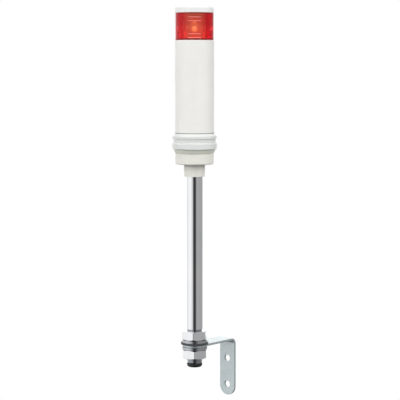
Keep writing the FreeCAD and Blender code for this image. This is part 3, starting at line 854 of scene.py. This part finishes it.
# Painted light: holder, boards and phosphor glow round the source's middle, though none of them is a
# lamp.
coat("led_holder", painted_glow(moulded("holder white", tint(240, 240, 236), tint(232, 232, 227), 0.45, 0.55,
                               depth=0.1), 0.0070, 0.0100, 0.2))
coat("led_boards", painted_glow(circuit_board("white board", tint(238, 239, 235), tint(222, 224, 220), 260.0),
                       0.0070, 0.0090, 0.9))
coat("lens_seal", bush_rubber)
coat("cap_seal", bush_rubber)

package_white = moulded("package white", tint(240, 239, 233), tint(230, 229, 222), 0.35, 0.45,
                        depth=0.05)


def phosphor_resin():
    """Yellow phosphor in clear resin, with a painted glow near the middle of the source."""
    material, tree, shader = new_material("phosphor")
    colour = uneven(tree, tint(252, 214, 96), tint(246, 198, 74), grain=2500.0, wave=400.0)[1]
    feed(shader, Base_Color=colour, Roughness=0.18)
    return painted_glow(material, 0.0086, 0.0100, 2.0, tint(215, 255, 205))


def square_loop(half, out, power=14.0, count=48):
    """Square outline with rounded corners, in millimetres, facing away from the post along X."""
    loop = []
    for k in range(count):
        angle = math.tau * k / count
        c, s = math.cos(angle), math.sin(angle)
        radius = half * MM / (abs(c) ** power + abs(s) ** power) ** (1 / power)
        loop.append((out * MM, radius * c, radius * s))
    return loop


phosphor = phosphor_resin()
LED_RADIUS = 7.0 * MM
LED_HALF = 2.5
led_low, led_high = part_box("leds")
led_middle = (0, POLE_Y, led_low.z + LED_HALF * MM)
led_step = (led_high.z - led_low.z - 2 * LED_HALF * MM) / 2
frame_maker = skinned("package maker", [
    square_loop(LED_HALF, 0), square_loop(LED_HALF, 1.45), square_loop(2.4, 1.6),
    square_loop(2.15, 1.6, 7.0), square_loop(2.1, 1.5, 7.0), square_loop(1.8, 0.9, 7.0)],
    package_white, sharp=25.0, capped=True)
bowl_maker = skinned("bowl maker", [
    square_loop(1.75, 0.95, 7.0), square_loop(2.05, 1.42, 7.0), square_loop(1.5, 1.47, 5.0),
    square_loop(0.7, 1.5, 3.0)], phosphor, sharp=40.0, capped=True)
packages = ringed("led_packages_white", frame_maker, package_white, 4, LED_RADIUS, BOARD_TURN,
                  led_middle, rows=3, step=led_step)
bowls = ringed("led_bowls_phosphor", bowl_maker, phosphor, 4, LED_RADIUS, BOARD_TURN,
               led_middle, rows=3, step=led_step)
for lamp_piece in (packages, bowls):
    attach(lamp_piece, "mast")
    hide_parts("leds")

# --- Lens -------------------------------------------------------------------------------------
# Clear red drum lens, smooth outside, 27.6 mm high. Inside, a convex belt at mid height and
# stepped ring prisms above and below it bend the light out level. Moulded in one piece.


def lens_section():
    """Section of the lens: outside wall, then the belt and the steps inside, going down."""
    outer, inner = 19.5, 17.3
    foot, top, middle = 348.5, 376.1, 362.3
    belt_half, belt_depth, belt_edge = 4.6, 1.8, 0.35
    drum, spigot, gap, step_depth = 27.6, 2.4, 0.1, 1.3
    step = (drum / 2 - spigot - gap - belt_half) / 2
    points = [(outer, foot, 0.3), (outer, top, 0.3), (inner, top, 0.15)]
    for k in (2, 1):
        points.append((inner, middle + belt_half + k * step, 0.08))
        points.append((inner - step_depth, middle + belt_half + (k - 1) * step, 0.12))
    for k in range(17):
        share = 1 - 2 * k / 16
        bulge = belt_depth * belt_edge + belt_depth * (1 - belt_edge) * (1 - share * share)
        points.append((inner - bulge, middle + belt_half * share, 0))
    for k in (1, 2):
        points.append((inner - step_depth, middle - belt_half - (k - 1) * step, 0.12))
        points.append((inner, middle - belt_half - k * step, 0.08))
    return points + [(inner, foot, 0.15)]


def chosen(tree, factor, first, second):
    """Shader that is the first where a factor is 0 and the second where it is 1."""
    node = put(tree, "ShaderNodeMixShader")
    for socket, value in zip(node.inputs, (factor, first, second)):
        plug(socket, value)
    return node.outputs[0]


def clear_red():
    """Dyed clear plastic, which deepens in tone where the eye looks through more of it."""
    material, tree, shader = new_material("clear red plastic")
    marks, dye = uneven(tree, (0.82, 0.028, 0.044, 1), (0.79, 0.024, 0.040, 1), grain=300.0,
                        depth=0.02)
    # Seen at a slant, more of the dyed wall lies in the way, so the red deepens to the sides.
    facing = put(tree, "ShaderNodeLayerWeight", Blend=0.5).outputs["Facing"]
    colour = between(tree, faded(tree, facing, 0.0, 0.26), (0.77, 0.19, 0.12, 1), dye)
    feed(shader, Base_Color=colour, Normal=marks["Normal"], Roughness=0.04, IOR=1.42,
         Transmission_Weight=0.72, Specular_IOR_Level=0.15, Specular_Tint=(1.0, 0.4, 0.4, 1))
    # Painted glints: each ring prism gets a short emission line where it faces the eye, for the light it
    # catches.
    ring_middle, line_half = 0.3612, 0.0004
    level = maths(tree, "ABSOLUTE", maths(tree, "SUBTRACT", height_in(tree), ring_middle))
    lines = [maths(tree, "COMPARE", level, away, line_half) for away in (0.0065, 0.0103)]
    near = faded(tree, facing, 0.03, 0.08, 1.0, 0.0)
    painted_glint = maths(tree, "MULTIPLY", maths(tree, "ADD", *lines), near)
    feed(shader, Emission_Strength=1.0,
         Emission_Color=between(tree, painted_glint, BLACK, (0.30, 0.15, 0.15, 1)))
    # Light that the lens passes on its way to what is inside.
    passing = put(tree, "ShaderNodeBsdfTransparent", Color=(0.95, 0.34, 0.30, 1))
    shadow = put(tree, "ShaderNodeLightPath").outputs["Is Shadow Ray"]
    feed(tree.nodes["Material Output"],
         Surface=chosen(tree, shadow, shader.outputs[0], passing.outputs[0]))
    # Painted shade: the foot of the wall, round the body's spigot, is painted a deeper red.
    return tinged(material, (0.42, 0.016, 0.034, 1), start=0.3506, finish=0.3490)


lens = turned("red_lens_clear", lens_section(), clear_red(), sides=224, sharp=20.0)
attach(lens, "mast")
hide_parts("red_lens")

# --- Cap --------------------------------------------------------------------------------------
# White cap with a low dome and a broad rounded edge. Its spigot closes the top of the lens, and
# the tie screws draw it down on the lens.

cap = turned("top_cap_moulded", [
    (14.7, 373.7, 0.2), (17.2, 373.7, 0.2), (17.2, 376.1, 0), (19.75, 376.1, 0.3), (19.75, 383.5, 3.4),
    (0, 384.3, 0), (0, 381.5, 0), (14.7, 381.5, 1.0)], cool_white, sides=224, steps=12)
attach(cap, "mast")
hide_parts("top_cap")

# --- Studio -----------------------------------------------------------------------------------
# Camera to the right of the front, pale floor, white surround that darkens to one side as studio
# walls do, and soft lamps.

CAMERA_TURN = math.radians(41.0)
CAMERA_DISTANCE = 1.530
CAMERA_HEIGHT = 0.325
CAMERA_DOWN = 5.2
CAMERA_ASIDE = 0.21

camera_data = bpy.data.cameras.new("camera")
camera_data.lens = 135.0
camera_data.sensor_width = 36.0
camera_data.clip_end = 50
camera = added("camera", camera_data)
camera.location = (CAMERA_DISTANCE * math.sin(CAMERA_TURN),
                   POLE_Y - CAMERA_DISTANCE * math.cos(CAMERA_TURN), CAMERA_HEIGHT)
camera.rotation_euler = (math.radians(90 - CAMERA_DOWN), 0,
                         CAMERA_TURN - math.radians(CAMERA_ASIDE))
bpy.context.scene.camera = camera
bpy.context.scene.view_settings.view_transform = "Standard"

world = bpy.data.worlds.new("studio")
bpy.context.scene.world = world
world.use_nodes = True
sky = world.node_tree
sky.nodes.clear()
direction = put(sky, "ShaderNodeTexCoord").outputs["Generated"]
spin = put(sky, "ShaderNodeMapping", vector_type="POINT", Vector=direction,
           Rotation=(0, 0, math.radians(49)))
fan = put(sky, "ShaderNodeTexGradient", gradient_type="RADIAL", Vector=spin.outputs["Vector"])
ramp = put(sky, "ShaderNodeValToRGB", Fac=fan.outputs["Fac"])
# Brightness of the walls by degrees round the light.
stops = ((-180, 1.6), (-150, 1.15), (-124, 0.86), (-99, 1.0), (-80, 1.08), (-62, 1.08), (-46, 0.98),
         (-30, 0.74), (-22, 0.5), (-15, 0.07), (0, 0.04), (14, 0.06), (26, 0.38), (40, 0.45), (60, 0.43),
         (90, 0.42), (130, 0.40), (155, 0.8), (180, 1.6))
for i, (angle, level) in enumerate(stops):
    place = 0.5 + angle / 360
    if i < 2:
        stop = ramp.color_ramp.elements[i]
        stop.position = place
    else:
        stop = ramp.color_ramp.elements.new(place)
    stop.color = (level, level, level, 1)
slope = put(sky, "ShaderNodeSeparateXYZ", Vector=direction).outputs["Z"]
surround = put(sky, "ShaderNodeBackground", Color=ramp.outputs["Color"],
               Strength=faded(sky, slope, -0.8, -0.3, 0.1, 1.0)).outputs[0]
# The walls show in glossy things; what they light, and what is seen directly, is plain white.
ray = put(sky, "ShaderNodeLightPath").outputs
for kind, strength in (("Is Diffuse Ray", 0.60), ("Is Transmission Ray", 0.7), ("Is Camera Ray", 1.0)):
    plain = put(sky, "ShaderNodeBackground", Color=WHITE, Strength=strength)
    surround = chosen(sky, ray[kind], surround, plain.outputs[0])
put(sky, "ShaderNodeOutputWorld", Surface=surround)

floor_material, tree, shader = new_material("pale floor")
feed(shader, Base_Color=(0.22, 0.22, 0.22, 1), Roughness=0.9)
white = put(tree, "ShaderNodeEmission", Strength=1.0)
seen = put(tree, "ShaderNodeLightPath").outputs["Is Camera Ray"]
above = chosen(tree, seen, shader.outputs[0], white.outputs[0])
# From below, the floor isn't there.
clear = put(tree, "ShaderNodeBsdfTransparent")
below = put(tree, "ShaderNodeNewGeometry").outputs["Backfacing"]
feed(tree.nodes["Material Output"], Surface=chosen(tree, below, above, clear.outputs[0]))
FLOOR_HALF, FLOOR_Z = 9, -0.32
corners = [(x * FLOOR_HALF, y * FLOOR_HALF, FLOOR_Z) for x, y in ((-1, -1), (1, -1), (1, 1), (-1, 1))]
floor_mesh = bpy.data.meshes.new("floor")
floor_mesh.from_pydata(corners, [], [(0, 1, 2, 3)])
floor_mesh.materials.append(floor_material)
floor = added("floor", floor_mesh)
floor.visible_glossy = False


def soft_lamp(name, side, up, distance, size, power):
    """Square soft lamp aimed at the light; side is degrees right of the camera."""
    lamp_data = bpy.data.lights.new(name, "AREA")
    lamp_data.size = size
    lamp_data.energy = power
    lamp = added(name, lamp_data)
    angle, rise = CAMERA_TURN + math.radians(side), math.radians(up)
    aim = Vector((0, POLE_Y, 0.2))
    lamp.location = aim + Vector((math.sin(angle) * math.cos(rise), -math.cos(angle) * math.cos(rise),
                                  math.sin(rise))) * distance
    lamp.rotation_euler = (aim - lamp.location).to_track_quat("-Z", "Y").to_euler()
    lamp.visible_glossy = False


soft_lamp("key lamp", -22, 28, 2.2, 1.4, 23.4)
soft_lamp("side lamp", -78, 20, 2.2, 1.4, 6)
soft_lamp("fill lamp", 68, 28, 2.4, 1.6, 24)
soft_lamp("top lamp", 0, 82, 2.2, 1.6, 5)
soft_lamp("back lamp", 172, 35, 2.4, 1.6, 15)
